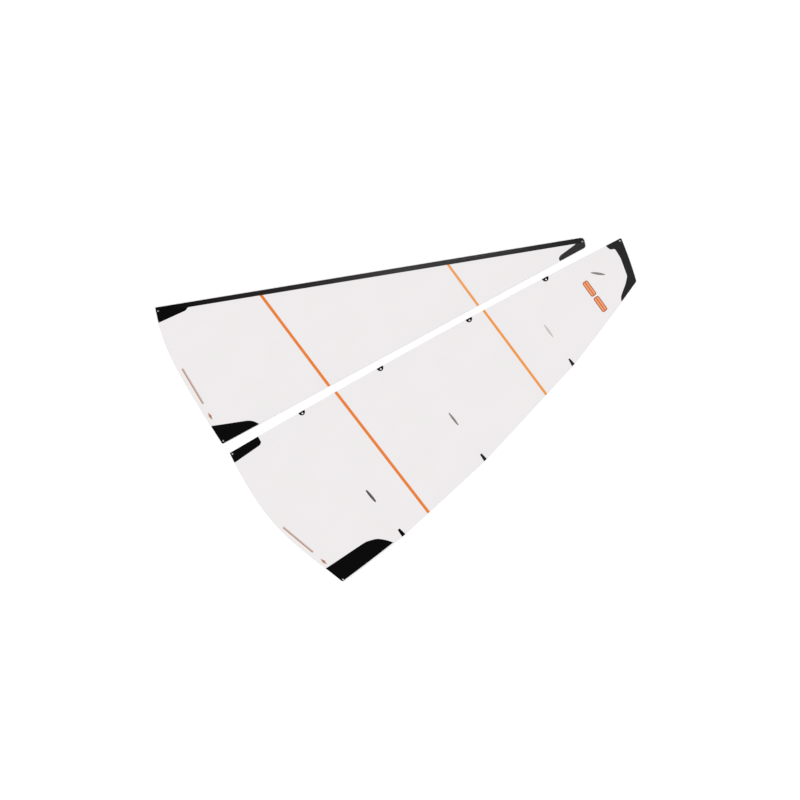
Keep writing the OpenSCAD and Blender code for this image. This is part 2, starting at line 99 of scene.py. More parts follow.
RIPPLE = 0.35 * MM         # height of the laid film's ripple
RIPPLE_WAVES = (           # weight, direction up the luff and aft, length in metres, phase
    (1.00, 0.62, 0.78, 0.172, 0.4),
    (0.80, 0.95, -0.31, 0.128, 2.1),
    (0.55, 0.20, -0.98, 0.094, 4.0),
    (0.40, 0.80, 0.60, 0.071, 5.2),
)
EYE_STILL = 4 * MM         # the film is flat this close to an eyelet's centre
EYE_FADE = 55 * MM         # and the ripple grows to its full height over this distance
LUFF_FADE = 70 * MM        # as it does behind a stiff luff


# ---- Sail frames: s runs up the luff from the tack, n runs aft from the luff, both in metres ----

def spot(name):
    return np.array(mounts[name]["pos_m"], float)


tunnel = mounts["jib_stay_tunnel"]
jib_along = np.array(tunnel["axis"][:2], float)
jib_left = np.array([-jib_along[1], jib_along[0]])
jib_length = tunnel["dims"]["length_mm"] * MM
jib_tack_corner = spot("jib_stay_tunnel")[:2] - jib_along * jib_length / 2 + jib_left * TUNNEL_BACK
main_tack_corner = spot("mainsail_tack_eyelet")[:2] + TACK_EYELET_IN * (-1, 1)

SAILS = {
    "mainsail": {
        "corner": main_tack_corner,
        "along": np.array([1.0, 0.0]),
        "left": np.array([0.0, 1.0]),
        "middle": spot("mainsail_tack_eyelet")[2],
        "eyes": ["mainsail_tack_eyelet", "mainsail_clew_eyelet", "mainsail_head_eyelet"],
        "still_luff": 0.0,
        "phase": 0.0,
    },
    "jib": {
        "corner": jib_tack_corner,
        "along": jib_along,
        "left": jib_left,
        "middle": spot("jib_tack_eyelet")[2],
        "eyes": ["jib_tack_eyelet", "jib_clew_eyelet", "jib_head_eyelet"],
        "still_luff": 14 * MM,
        "phase": 1.7,
    },
}


def sail_of(node):
    """The sail that a CAD node belongs to."""
    return "jib" if node.startswith("jib") else "mainsail"


def to_sail(xy, sail):
    """Row-frame points as (s, n)."""
    f = SAILS[sail]
    d = np.asarray(xy, float).reshape(-1, 2) - f["corner"]
    return np.stack([d @ f["along"], -(d @ f["left"])], axis=1)


def to_row(sn, sail):
    """(s, n) points in the row frame."""
    f = SAILS[sail]
    p = np.asarray(sn, float).reshape(-1, 2)
    return f["corner"] + p[:, :1] * f["along"] - p[:, 1:] * f["left"]


def smooth(t):
    t = np.clip(t, 0, 1)
    return t * t * (3 - 2 * t)


def lift(xy, sail):
    """How far the laid film stands off its flat level, from 0 to RIPPLE. It dies away at eyelets and at a
    stiff luff."""
    xy = np.asarray(xy, float).reshape(-1, 2)
    s, n = to_sail(xy, sail).T
    waves = sum(
        weight * np.sin(2 * math.pi * (s * up + n * aft) / length + phase + SAILS[sail]["phase"])
        for weight, up, aft, length, phase in RIPPLE_WAVES
    ) / sum(wave[0] for wave in RIPPLE_WAVES)
    fade = np.ones(len(xy))
    for eye in SAILS[sail]["eyes"]:
        gone = np.linalg.norm(xy - spot(eye)[:2], axis=1)
        fade *= smooth((gone - EYE_STILL) / EYE_FADE)
    if SAILS[sail]["still_luff"]:
        fade *= smooth((n - SAILS[sail]["still_luff"]) / LUFF_FADE)
    return RIPPLE * (0.5 + 0.5 * waves) * fade


# ---- Outlines taken from the CAD nodes ----

LEVEL_SLACK = 2e-6         # heights closer than this, in metres, are one level
LINE_SLACK = 0.05 * MM     # points this close to a line are on it


def cad_points(node):
    return np.array([v.co for v in frame["nodes"][node].data.vertices], float)


def levels(node):
    """The heights at which a flat CAD node has level faces, lowest first."""
    mesh = frame["nodes"][node].data
    return sorted({round(face.center.z, 6) for face in mesh.polygons if abs(face.normal.z) > 0.5})


def outlines(node, high):
    """Closed outlines of a CAD node's upward faces at one height. A hole's outline runs clockwise."""
    mesh = frame["nodes"][node].data
    place = [(round(v.co.x, 6), round(v.co.y, 6)) for v in mesh.vertices]
    level = [abs(v.co.z - high) < LEVEL_SLACK for v in mesh.vertices]
    ways = set()
    for face in mesh.polygons:
        if all(level[i] for i in face.vertices) and face.normal.z > 0.5:
            ring = [place[i] for i in face.vertices]
            ways.update((a, b) for a, b in zip(ring, ring[1:] + ring[:1]) if a != b)
    following = {a: b for a, b in ways if (b, a) not in ways}
    loops = []
    while following:
        start, point = following.popitem()
        loop = [start]
        while point != start:
            loop.append(point)
            point = following.pop(point)
        loops.append(np.array(loop))
    return loops


def clipped(loop, sail, n_from):
    """The part of an outline at least n_from behind the luff."""
    sn, kept = to_sail(loop, sail), []
    for a, b in zip(sn, np.roll(sn, -1, axis=0)):
        if a[1] >= n_from:
            kept.append(a)
        if (a[1] >= n_from) != (b[1] >= n_from):
            kept.append(a + (b - a) * (n_from - a[1]) / (b[1] - a[1]))
    return to_row(kept, sail) if len(kept) > 2 else None


def fold_line(joint):
    """A fold's point and its direction into the end panel, in XY."""
    j = joints[joint]
    point, axis = np.array(j["pos_m"][:2]), np.array(j["axis"][:2])
    into = np.array([axis[1], -axis[0]])
    centre = cad_points(j["child"] + "_panel")[:, :2].mean(0)
    return point, into if (centre - point) @ into > 0 else -into


def closed_up(loops, joint):
    """An end panel's outlines with the edge along the fold moved over to the middle panel's edge."""
    point, into = fold_line(joint)
    moved = []
    for loop in loops:
        away = (loop - point) @ into
        near = np.abs(away - FOLD_GAP) < LINE_SLACK
        moved.append(loop - np.outer(near * 2 * FOLD_GAP, into))
    return moved


# ---- Fine closed nets inside outlines ----

SLIVER = 1e-12             # a triangle with twice its area under this, in square metres, is left out


def spaced(loop, step):
    """An outline with points no further apart than step."""
    made = []
    for a, b in zip(loop, np.roll(loop, -1, axis=0)):
        count = max(1, math.ceil(np.linalg.norm(b - a) / step))
        made.extend(a + (b - a) * k / count for k in range(count))
    return np.array(made)


def inside(points, loops):
    """Which points lie inside the outlines and outside their holes."""
    odd = np.zeros(len(points), bool)
    x, y = points.T
    for loop in loops:
        for (x0, y0), (x1, y1) in zip(loop, np.roll(loop, -1, axis=0)):
            if y0 != y1:
                odd ^= ((y0 > y) != (y1 > y)) & (x < x0 + (y - y0) * (x1 - x0) / (y1 - y0))
    return odd


def gap_to(points, others):
    """Each point's distance to the nearest of the others, some 500 points at a time."""
    parts = np.array_split(points, max(1, len(points) // 500))
    return np.concatenate([np.sqrt(((part[:, None] - others[None]) ** 2).sum(2).min(1)) for part in parts])


def bends(points, fold):
    """Which points are in the stretch of an end panel that bends when its fold moves."""
    point, into = fold_line(fold)
    away = (np.asarray(points) - point) @ into
    return (away > -BEND_STEP) & (away < FOLD_REACH + BEND_MARGIN)


def finer_where_bent(ring, fold):
    """An outline with more points where it bends."""
    made = []
    for a, b in zip(ring, np.roll(ring, -1, axis=0)):
        length = np.linalg.norm(b - a)
        split = length > BEND_STEP and bends((a + b) / 2, fold)
        count = math.ceil(length / BEND_STEP) if split else 1
        made.extend(a + (b - a) * k / count for k in range(count))
    return np.array(made)


def staggered(low, high, step):
    """Rows of points a step apart, every other row moved over by half a step."""
    row_step = 0.866 * step     # the height of an even triangle
    rows = np.arange(low[1], high[1], row_step)
    return [
        (s, n)
        for k, n in enumerate(rows)
        for s in np.arange(low[0] + (k % 2) * step / 2, high[0], step)
    ]


def filling(loops, step, sail, wanted=None):
    """Points in rows inside the outlines, where wanted, at least half a step from every edge."""
    sn = to_sail(np.concatenate(loops), sail)
    grid = np.array(to_row(staggered(sn.min(0), sn.max(0), step), sail)).reshape(-1, 2)
    if wanted:
        grid = grid[wanted(grid)]
    grid = grid[inside(grid, loops)]
    return grid[gap_to(grid, spaced_all(loops, step / 3)) > 0.5 * step] if len(grid) else grid


def signed_area(loop):
    """An outline's area: positive where it runs anticlockwise, negative round a hole."""
    x, y = loop.T
    return float((x * np.roll(y, -1) - y * np.roll(x, -1)).sum() / 2)


def collars(loops):
    """A ring of points round each hole, so that its edge tone doesn't run across to the outer edge."""
    rings = []
    for hole in (loop for loop in loops if signed_area(loop) < 0):
        out = hole - hole.mean(0)
        rings.append(hole + out / np.linalg.norm(out, axis=1)[:, None] * COLLAR)
    if not rings:
        return np.empty((0, 2))
    ring = np.concatenate(rings)
    ring = ring[inside(ring, loops)]
    return ring[gap_to(ring, spaced_all(loops, COLLAR / 3)) > COLLAR / 2]


def net(loops, step, sail, fold=None):
    """Points and anticlockwise triangles that fill the outlines, and each point's distance from the edge."""
    edges, border = [], []
    for loop in loops:
        ring = spaced(loop, step)
        if fold:
            ring = finer_where_bent(ring, fold)
        first = len(border)
        border.extend(ring)
        edges.extend((first + i, first + (i + 1) % len(ring)) for i in range(len(ring)))
    border = np.array(border)
    if fold and step > BEND_STEP:
        coarse = filling(loops, step, sail, lambda points: ~bends(points, fold))
        points = [border, coarse, filling(loops, BEND_STEP, sail, lambda points: bends(points, fold))]
    else:
        points = [border, filling(loops, step, sail)]
    points = np.concatenate([*points, collars(loops)])
    made, _, faces, _, _, _ = delaunay_2d_cdt([Vector(p) for p in points / MM], edges, [], 0, 1e-6, False)
    made = np.array([tuple(p) for p in made]) * MM
    faces = np.array([tuple(f) for f in faces])
    faces = faces[inside(made[faces].mean(1), loops)]
    a, b, c = (made[faces[:, i]] for i in range(3))
    turn = (b - a)[:, 0] * (c - a)[:, 1] - (b - a)[:, 1] * (c - a)[:, 0]
    whole = np.abs(turn) > SLIVER
    faces, turn = faces[whole], turn[whole]
    faces[turn < 0] = faces[turn < 0][:, ::-1]
    used = np.unique(faces)
    order = np.full(len(made), -1)
    order[used] = np.arange(len(used))
    made, faces = made[used], order[faces]
    return made, faces, gap_to(made, spaced_all(loops, step / 3))


def spaced_all(loops, step):
    return np.concatenate([spaced(loop, step) for loop in loops])


class Mesh:
    """Points, faces and each point's distance from its piece's edge, gathered for one object."""

    def __init__(self, sail):
        self.sail, self.points, self.faces, self.rim = sail, [], [], []

    def add(self, points, faces, rim):
        first = len(self.points)
        self.points.extend(tuple(p) for p in points)
        self.faces.extend(tuple(int(i) + first for i in f) for f in faces)
        self.rim.extend(rim)

    def add_layer(self, loops, low, high, step, fold=None):
        """A thin closed solid between two heights, with the sail's ripple."""
        made, faces, rim = net(loops, step, self.sail, fold)
        rise, count = lift(made, self.sail), len(made)
        lower = np.column_stack([made, low + rise])
        upper = np.column_stack([made, high + rise])
        ways = {(int(f[i]), int(f[(i + 1) % 3])) for f in faces for i in range(3)}
        walls = [(a, b, b + count, a + count) for a, b in sorted(ways) if (b, a) not in ways]
        self.add(
            np.concatenate([lower, upper]),
            [*faces[:, ::-1], *(faces + count), *walls],
            [*rim, *rim],
        )

    def build(self, name, crease=40):
        """The object, with a UV map in metres along and across the sail, and its rim distances."""
        data = bpy.data.meshes.new(name)
        data.from_pydata(self.points, [], self.faces)
        data.update()
        flat = to_sail(np.array(self.points)[:, :2], self.sail)
        uv = data.uv_layers.new(name="cloth")
        corner = np.zeros(len(data.loops), int)
        data.loops.foreach_get("vertex_index", corner)
        uv.data.foreach_set("uv", flat[corner].astype(np.float32).ravel())
        rim = data.attributes.new("rim", "FLOAT", "POINT")
        rim.data.foreach_set("value", np.array(self.rim, np.float32))
        data.shade_smooth()
        data.set_sharp_from_angle(angle=math.radians(crease))
        made = bpy.data.objects.new(name, data)
        bpy.context.scene.collection.objects.link(made)
        return made


def dress(piece, material, node, fold=None):
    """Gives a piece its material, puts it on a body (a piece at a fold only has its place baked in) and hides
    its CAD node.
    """
    piece.data.materials.append(material)
    if fold:
        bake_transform(piece)
    else:
        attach(piece, frame["nodes"][node]["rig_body"])
    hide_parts(node)
    return piece


def flat_piece(node, kind, material, step, fold=None):
    """A flat CAD node's piece, one thin solid for each of its layers."""
    mesh, heights = Mesh(sail_of(node)), levels(node)
    for low, high in zip(heights[::2], heights[1::2]):
        loops = outlines(node, high)
        mesh.add_layer(closed_up(loops, fold) if fold else loops, low, high, step, fold)
    return dress(mesh.build(f"{kind}_{node}"), material, node, fold)


# ---- Materials ----

BAND_LENGTH = 0.314159      # a wave texture's bands are this far apart at a scale of 1


class Look:
    """A Principled material and short ways to add its nodes."""

    def __init__(self, name, roughness, specular=0.5, metallic=0.0, coat=0.0, coat_roughness=0.1):
        self.material = bpy.data.materials.new(name)
        self.material.use_nodes = True
        self.tree = self.material.node_tree
        self.shader = self.tree.nodes["Principled BSDF"]
        self.set(self.shader, "Roughness", roughness)
        self.set(self.shader, "Specular IOR Level", specular)
        self.set(self.shader, "Metallic", metallic)
        self.set(self.shader, "Coat Weight", coat)
        self.set(self.shader, "Coat Roughness", coat_roughness)
        chart = self.node("ShaderNodeUVMap")
        chart.uv_map = "cloth"
        to_mm = self.node("ShaderNodeVectorMath", operation="SCALE")
        to_mm.inputs["Scale"].default_value = 1000.0
        self.link(chart.outputs["UV"], to_mm.inputs[0])
        self.mm = to_mm.outputs["Vector"]

    def node(self, kind, **options):
        made = self.tree.nodes.new(kind)
        for key, value in options.items():
            setattr(made, key, value)
        return made

    def set(self, node, socket, value):
        node.inputs[socket].default_value = value

    def link(self, a, b):
        self.tree.links.new(a, b)

    def stretched(self, source, x, y):
        """The coordinates scaled along and across the sail."""
        mapping = self.node("ShaderNodeMapping")
        self.set(mapping, "Scale", (x, y, 1.0))
        self.link(source, mapping.inputs["Vector"])
        return mapping.outputs["Vector"]

    def turned(self, source, degrees):
        mapping = self.node("ShaderNodeMapping")
        self.set(mapping, "Rotation", (0.0, 0.0, math.radians(degrees)))
        self.link(source, mapping.inputs["Vector"])
        return mapping.outputs["Vector"]

    def noise(self, size, detail=2.0, roughness=0.5, source=None):
        """Noise whose blotches are about size across, in millimetres."""
        made = self.node("ShaderNodeTexNoise")
        self.set(made, "Scale", 1.0 / size)
        self.set(made, "Detail", detail)
        self.set(made, "Roughness", roughness)
        self.link(source or self.mm, made.inputs["Vector"])
        return made.outputs["Fac"]

    def threads(self, pitch, direction, wobble=0.0):
        """Parallel threads, pitch millimetres apart."""
        made = self.node(
            "ShaderNodeTexWave", wave_type="BANDS", bands_direction=direction, wave_profile="SIN"
        )
        self.set(made, "Scale", BAND_LENGTH / pitch)
        self.set(made, "Distortion", wobble)
        self.set(made, "Detail", 1.0)
        self.set(made, "Detail Scale", 0.6)
        self.link(self.mm, made.inputs["Vector"])
        return made.outputs["Fac"]

    def math(self, operation, a, b):
        made = self.node("ShaderNodeMath", operation=operation)
        for socket, value in zip(made.inputs, (a, b)):
            if isinstance(value, (int, float)):
                socket.default_value = value
            else:
                self.link(value, socket)
        return made.outputs[0]

    def range(self, source, low, high, to_low, to_high):
        """The source's values from low to high stretched to another range, and held beyond it."""
        made = self.node("ShaderNodeMapRange")
        for socket, value in zip(("From Min", "From Max", "To Min", "To Max"), (low, high, to_low, to_high)):
            self.set(made, socket, value)
        self.link(source, made.inputs["Value"])
        return made.outputs["Result"]

    def rim(self):
        """Distance from the piece's cut edge, in metres."""
        return self.node("ShaderNodeAttribute", attribute_name="rim").outputs["Fac"]

    def mix(self, factor, a, b, blend="MIX"):
        """Colour a where factor is 0 and b where it is 1. Each is a colour or a socket."""
        made = self.node("ShaderNodeMix", data_type="RGBA", blend_type=blend)
        if isinstance(factor, (int, float)):
            made.inputs[0].default_value = factor
        else:
            self.link(factor, made.inputs[0])
        for socket, value in ((made.inputs[6], a), (made.inputs[7], b)):
            if isinstance(value, tuple):
                socket.default_value = (*value, 1.0)
            else:
                self.link(value, socket)
        return made.outputs[2]

    def colour(self, source):
        self.link(source, self.shader.inputs["Base Color"])

    def roughness(self, source):
        self.link(source, self.shader.inputs["Roughness"])

    def bump(self, *heights):
        """Bumps one after another, each (source, depth in millimetres, strength)."""
        normal = None
        for source, depth, strength in heights:
            made = self.node("ShaderNodeBump")
            self.set(made, "Distance", depth * MM)
            self.set(made, "Strength", strength)
            self.link(source, made.inputs["Height"])
            if normal:
                self.link(normal, made.inputs["Normal"])
            normal = made.outputs["Normal"]
        self.link(normal, self.shader.inputs["Normal"])


def grey(value, warmth=0.0):
    return (value * (1 + warmth), value, value * (1 - warmth * 0.4))


def film_look():
    """Thin milky polyester film: satin, faintly mottled, with fine grain and a few soft handling marks."""
    k = Look("sail_film", 0.38, specular=0.42, coat=0.12, coat_roughness=0.22)
    cloudy = k.noise(95, detail=3.0)
    streaky = k.noise(5, detail=2.0, source=k.stretched(k.mm, 0.06, 1.0))
    tone = k.mix(k.range(cloudy, 0.35, 0.65, 0.0, 1.0), (0.752, 0.727, 0.733), (0.764, 0.738, 0.745))
    tone = k.mix(k.range(streaky, 0.3, 0.7, 0.0, 0.35), tone, (0.742, 0.716, 0.723))
    k.colour(tone)
    k.roughness(k.range(k.noise(14, detail=3.0), 0.3, 0.7, 0.33, 0.44))
    slanted = k.stretched(k.turned(k.mm, 34), 0.25, 1.6)
    marks = k.range(k.noise(42, detail=1.0, source=slanted), 0.49, 0.51, 0.0, 1.0)
    k.bump((k.noise(0.9, detail=2.0), 0.006, 0.5), (marks, 0.004, 0.35))
    return k.material


def tape_look(name, deep, light, edge):
    """Glossy orange adhesive tape: drawn lengthwise, a little deeper in colour along its cut edges."""
    k = Look(name, 0.32, specular=0.35, coat=0.12, coat_roughness=0.12)
    drawn = k.noise(2.2, detail=3.0, source=k.stretched(k.mm, 1.0, 0.05))
    tone = k.mix(k.range(drawn, 0.3, 0.7, 0.0, 1.0), deep, light)
    tone = k.mix(k.range(k.noise(30), 0.4, 0.7, 0.0, 0.5), tone, deep)
    tone = k.mix(k.range(k.rim(), 0.0, 0.0008, 0.45, 0.0), tone, edge)
    k.colour(tone)
    k.roughness(k.range(drawn, 0.3, 0.7, 0.26, 0.38))
    k.bump((drawn, 0.02, 0.4), (k.noise(0.4), 0.006, 0.3))
    return k.material


THREAD_PITCH = 0.55         # between the sailcloth's threads, in millimetres
HEAVY_EVERY = 9             # one thread in this many is heavier


def cloth_look(name, dark, light, edge, roughness=0.72, specular=0.12):
    """Sticky-backed sailcloth: plain weave, a heavier thread every few millimetres, and a paler cut edge."""
    k = Look(name, roughness, specular=specular)
    warp, weft = k.threads(THREAD_PITCH, "X", 0.5), k.threads(THREAD_PITCH, "Y", 0.5)
    weave = k.math("MULTIPLY", warp, weft)
    ridges = (k.range(k.threads(THREAD_PITCH * HEAVY_EVERY, way), 0.9, 1.0, 0.0, 1.0) for way in "XY")
    heavy = k.math("MAXIMUM", *ridges)
    tone = k.mix(k.range(weave, 0.1, 0.8, 0.0, 1.0), dark, light)
    tone = k.mix(k.range(k.noise(16, detail=3.0), 0.35, 0.7, 0.0, 0.5), tone, dark)
    tone = k.mix(k.range(k.rim(), 0.0, 0.0005, 0.6, 0.0), tone, edge)
    k.colour(tone)
    k.roughness(k.range(k.noise(3.0, detail=2.0), 0.3, 0.7, roughness - 0.06, roughness + 0.08))
    k.bump((weave, 0.05, 0.6), (heavy, 0.03, 0.4), (k.noise(9), 0.02, 0.3))
    return k


# A painted sheen along the luff sleeve: the sleeve cloth's tone is multiplied by this ramp.
SLEEVE_PAINTED_SHEEN = (             # share of the luff's length, and how much of the cloth's tone the painted sheen leaves there
    (0.03, (0.03, 0.03, 0.03)),
    (0.08, (0.13, 0.13, 0.13)),
    (0.15, (0.29, 0.25, 0.26)),
    (0.32, (0.46, 0.40, 0.42)),
    (0.44, (0.66, 0.62, 0.63)),
    (0.57, (1.0, 0.96, 0.97)),
    (0.78, (0.80, 0.76, 0.77)),
    (0.97, (0.38, 0.38, 0.38)),
)


def sleeve_look():
    """The luff sleeve's tape: the same sailcloth, near black at the tack and paler up the luff, a painted
    sheen.
    """
    k = cloth_look("luff_sleeve_tape", grey(0.036), grey(0.062), grey(0.08), roughness=0.66, specular=0.03)
    along = k.node("ShaderNodeSeparateXYZ")
    k.link(k.mm, along.inputs[0])
    # painted sheen: a ramp up the luff that the cloth's tone is multiplied by
    painted_sheen = k.node("ShaderNodeValToRGB")
    stops = painted_sheen.color_ramp.elements
    stops[0].position, stops[1].position = SLEEVE_PAINTED_SHEEN[0][0], SLEEVE_PAINTED_SHEEN[-1][0]
    for place, _ in SLEEVE_PAINTED_SHEEN[1:-1]:
        stops.new(place)
    for stop, (_, tone) in zip(stops, SLEEVE_PAINTED_SHEEN):
        stop.color = (*tone, 1.0)
    k.link(k.math("DIVIDE", along.outputs["X"], jib_length / MM), painted_sheen.inputs["Fac"])
    cloth = k.shader.inputs["Base Color"].links[0].from_socket
    k.colour(k.mix(1.0, cloth, painted_sheen.outputs["Color"], blend="MULTIPLY"))
    return k.material


def metal_look():
    """Dark nickel-plated brass eyelet, a little dulled and scratched round the rim."""
    k = Look("eyelet_metal", 0.24, metallic=1.0)
    dull = k.noise(0.8, detail=4.0)
    k.colour(k.mix(k.range(dull, 0.35, 0.7, 0.0, 1.0), (0.27, 0.265, 0.26), (0.18, 0.177, 0.173)))
    k.roughness(k.range(dull, 0.3, 0.7, 0.18, 0.36))
    k.bump((k.noise(0.25, detail=3.0), 0.01, 0.3))
    return k.material


def batten_look():
    """Pale glass-fibre strip, with lengthwise fibres."""
    k = Look("batten_strip", 0.4, specular=0.5)
    fibres = k.noise(1.6, detail=4.0, source=k.stretched(k.mm, 1.0, 0.08))
    k.colour(k.mix(k.range(fibres, 0.3, 0.7, 0.0, 1.0), (0.56, 0.58, 0.50), (0.68, 0.69, 0.61)))
    k.roughness(k.range(fibres, 0.3, 0.7, 0.34, 0.5))
    k.bump((fibres, 0.02, 0.4))
    return k.material


SOFTNESS = 0.15             # a mark's lines fade over this far each side of their edges, in millimetres


def print_look(name, tone, deeper, outline=None, middle=None):
    """Cut self-adhesive vinyl: smooth, with slight orange-peel. outline is (tone, width in metres), a line
    just inside the mark's edge. middle is (tone, width, a point on it, its lean), a line straight across the
    mark, in millimetres and degrees."""
    k = Look(name, 0.42, specular=0.4)
    mottled = k.noise(6, detail=3.0)
    mixed = k.mix(k.range(mottled, 0.3, 0.7, 0.0, 1.0), tone, deeper)
    if middle:
        line_tone, width, centre, lean = middle
        out = k.node("ShaderNodeVectorMath", operation="SUBTRACT")
        k.link(k.mm, out.inputs[0])
        out.inputs[1].default_value = (*centre, 0.0)
        across = k.node("ShaderNodeVectorMath", operation="DOT_PRODUCT")
        k.link(out.outputs["Vector"], across.inputs[0])
        lean = math.radians(lean)
        across.inputs[1].default_value = (math.cos(lean), -math.sin(lean), 0.0)
        off_line = k.math("ABSOLUTE", across.outputs["Value"], 0.0)
        line = k.range(off_line, width / 2 - SOFTNESS, width / 2 + SOFTNESS, 1.0, 0.0)
        mixed = k.mix(line, mixed, line_tone)
    if outline:
        edge_tone, width = outline
        border = k.range(k.rim(), width - SOFTNESS * MM, width + SOFTNESS * MM, 1.0, 0.0)
        mixed = k.mix(border, mixed, edge_tone)
    k.colour(k.mix(k.range(k.rim(), 0.0, 0.0004, 0.3, 0.0), mixed, deeper))
    k.roughness(k.range(mottled, 0.3, 0.7, 0.36, 0.48))
    k.bump((k.noise(0.7), 0.008, 0.35))
    return k.material


FILM = film_look()
TAPES = {
    seam: tape_look(name, *tones)
    for seam, name, tones in (
        ("mainsail_lower", "seam_tape", ((0.70, 0.165, 0.005), (0.76, 0.195, 0.012), (0.62, 0.140, 0.020))),
        ("mainsail_upper", "seam_tape_pale", ((0.76, 0.26, 0.024), (0.81, 0.29, 0.040), (0.68, 0.23, 0.040))),
        ("jib_upper", "seam_tape_palest", ((0.75, 0.29, 0.055), (0.80, 0.32, 0.078), (0.67, 0.26, 0.070))),
    )
}
TAPES["jib_lower"] = TAPES["mainsail_lower"]
BLACK = cloth_look("patch_black", grey(0.0014), grey(0.0034), grey(0.010), specular=0.03).material
CHARCOAL = {
    "mainsail": cloth_look("patch_charcoal", grey(0.012), grey(0.024), grey(0.04), specular=0.12).material,
    # the jib's head patch is a paler charcoal than the mainsail's
    "jib": cloth_look("patch_charcoal_paler", grey(0.021), grey(0.038), grey(0.06), specular=0.12).material,
}
SLEEVE = sleeve_look()
METAL = metal_look()
BATTEN = batten_look()
FOOT_MARK = print_look(
    "mark_foot", (0.30, 0.190, 0.135), (0.26, 0.165, 0.115), outline=((0.62, 0.240, 0.110), 0.8 * MM)
)
HEAD_MARK = print_look(
    "mark_orange", (0.84, 0.330, 0.130), (0.80, 0.290, 0.105),
    outline=((0.37, 0.085, 0.036), 2.3 * MM), middle=((0.50, 0.120, 0.050), 2.6, (949.5, 92.6), 7)
)
MARK_GREY = print_look("mark_grey", grey(0.36), grey(0.30))
TAB_FADED = cloth_look("tab_faded", grey(0.010), grey(0.020), grey(0.03), specular=0.1).material
TIP_TONES = {
    k: cloth_look(name, *(grey(tone, 0.05) for tone in tones), specular=0.2).material
    for k, name, tones in (
        ("1", "batten_patch_dark", (0.070, 0.115, 0.14)),
        ("2", "batten_patch_mid", (0.18, 0.26, 0.28)),
        ("3", "batten_patch_pale", (0.46, 0.54, 0.54)),
        ("4", "batten_patch_grey", (0.18, 0.28, 0.29)),
    )
}


# ---- Flat pieces ----

for sail in ("mainsail", "jib"):
    for part in ("lower", "middle", "upper"):
        fold = None if part == "middle" else f"{sail}_{part}_fold"
        node = f"{sail}_{part}_panel"
        flat_piece(node, "film", FILM, FILM_STEP, fold)
    for part in ("lower", "upper"):
        node = f"{sail}_{part}_seam_tape"
        flat_piece(node, "tape", TAPES[f"{sail}_{part}"], TAPE_STEP)
    for corner in ("tack", "clew", "head"):
        node = f"{sail}_{corner}_patch"
        material, slot = (CHARCOAL[sail], "patch_charcoal") if corner == "head" else (BLACK, "patch_black")
        flat_piece(node, "cloth", material, PATCH_STEP)
    for mark, material, slot in (
        ("foot_stripe", FOOT_MARK, "mark_orange"),
        ("foot_pinstripe", MARK_GREY, "mark_grey"),
    ):
        node = f"{sail}_{mark}"
        flat_piece(node, "print", material, FOOT_MARK_STEP)

for k in "1234":
    for node, kind, material, slot, step in (
        (f"luff_hole_patch_{k}", "cloth", BLACK, "patch_black", TAB_STEP),
        (f"batten_tip_patch_{k}", "cloth", TIP_TONES[k], "batten_patch_grey", TIP_STEP),
        (f"batten_leech_tab_{k}", "cloth", BLACK if k == "1" else TAB_FADED, "patch_black", TAB_STEP),
        (f"batten_{k}", "strip", BATTEN, "batten_strip", BATTEN_STEP),
    ):
        if node in frame["nodes"]:
            flat_piece(node, kind, material, step)
node = "mainsail_head_mark"
flat_piece(node, "print", HEAD_MARK, HEAD_MARK_STEP)


# ---- Luff sleeve: tape folded round the stay tunnel, pressed on to both faces of the film ----

TUNNEL_MID_R = 1.1 * MM     # radius of the middle of the tunnel's wall
TUNNEL_WALL = 0.2 * MM      # its thickness
TUNNEL_LEAN = 68            # where the flanges leave the tunnel, in degrees from straight aft
SWEEP_N = 3.6 * MM          # the folded front reaches this far aft, and the flat flanges go on from there
HEAD_CUT = 10 * MM          # how much the rounded head corner takes off each edge


def sleeve_section():
    """The folded front's section: points (n, z) of its middle line, from the top flange round the tunnel to
    the bottom one."""
    level = FILM_HALF + PATCH_T / 2
    lean = math.radians(TUNNEL_LEAN)
    meet = np.array([TUNNEL_BACK + TUNNEL_MID_R * math.cos(lean), TUNNEL_MID_R * math.sin(lean)])
    flow = np.array([-math.sin(lean), math.cos(lean)])
    start = np.array([SWEEP_N, level])
    a, b = start + np.array([-1.0 * MM, 0.0]), meet - flow * 0.7 * MM
    t = np.linspace(0, 1, 9)[:-1, None]
    upper = (1 - t) ** 3 * start + 3 * (1 - t) ** 2 * t * a + 3 * (1 - t) * t * t * b + t ** 3 * meet
    w = np.linspace(lean, 2 * math.pi - lean, 29)
    arc = np.column_stack([TUNNEL_BACK + TUNNEL_MID_R * np.cos(w), TUNNEL_MID_R * np.sin(w)])
    return np.concatenate([upper, arc, upper[::-1] * (1, -1)])


def banded(line):
    """Outer and inner lines at half the tape's thickness either side of a section's middle line."""
    run = np.gradient(line, axis=0)
    run /= np.linalg.norm(run, axis=1)[:, None]
    side = np.stack([run[:, 1], -run[:, 0]], axis=1)
    if side[0][1] < 0:
        side = -side
    bulge = smooth((SWEEP_N - line[:, 0]) / (2 * MM))[:, None]
    half = (PATCH_T + (TUNNEL_WALL - PATCH_T) * bulge) / 2
    return line + side * half, line - side * half


def fold_crossing(joint, n):
    """How far up the luff a fold's cut edge lies, at each distance aft."""
    point, into = fold_line(joint)
    edge = point - into * FOLD_GAP
    along = np.array([-into[1], into[0]])
    (s0, n0), (s1, n1) = to_sail([edge, edge + along], "jib")
    return s0 + (n - n0) * (s1 - s0) / (n1 - n0)


def head_end(n):
    """How far up the luff the sleeve reaches at the rounded head corner, at each distance aft."""
    return jib_length - HEAD_CUT * (1 - np.sqrt(np.clip(n / HEAD_CUT, 0, 1))) ** 2


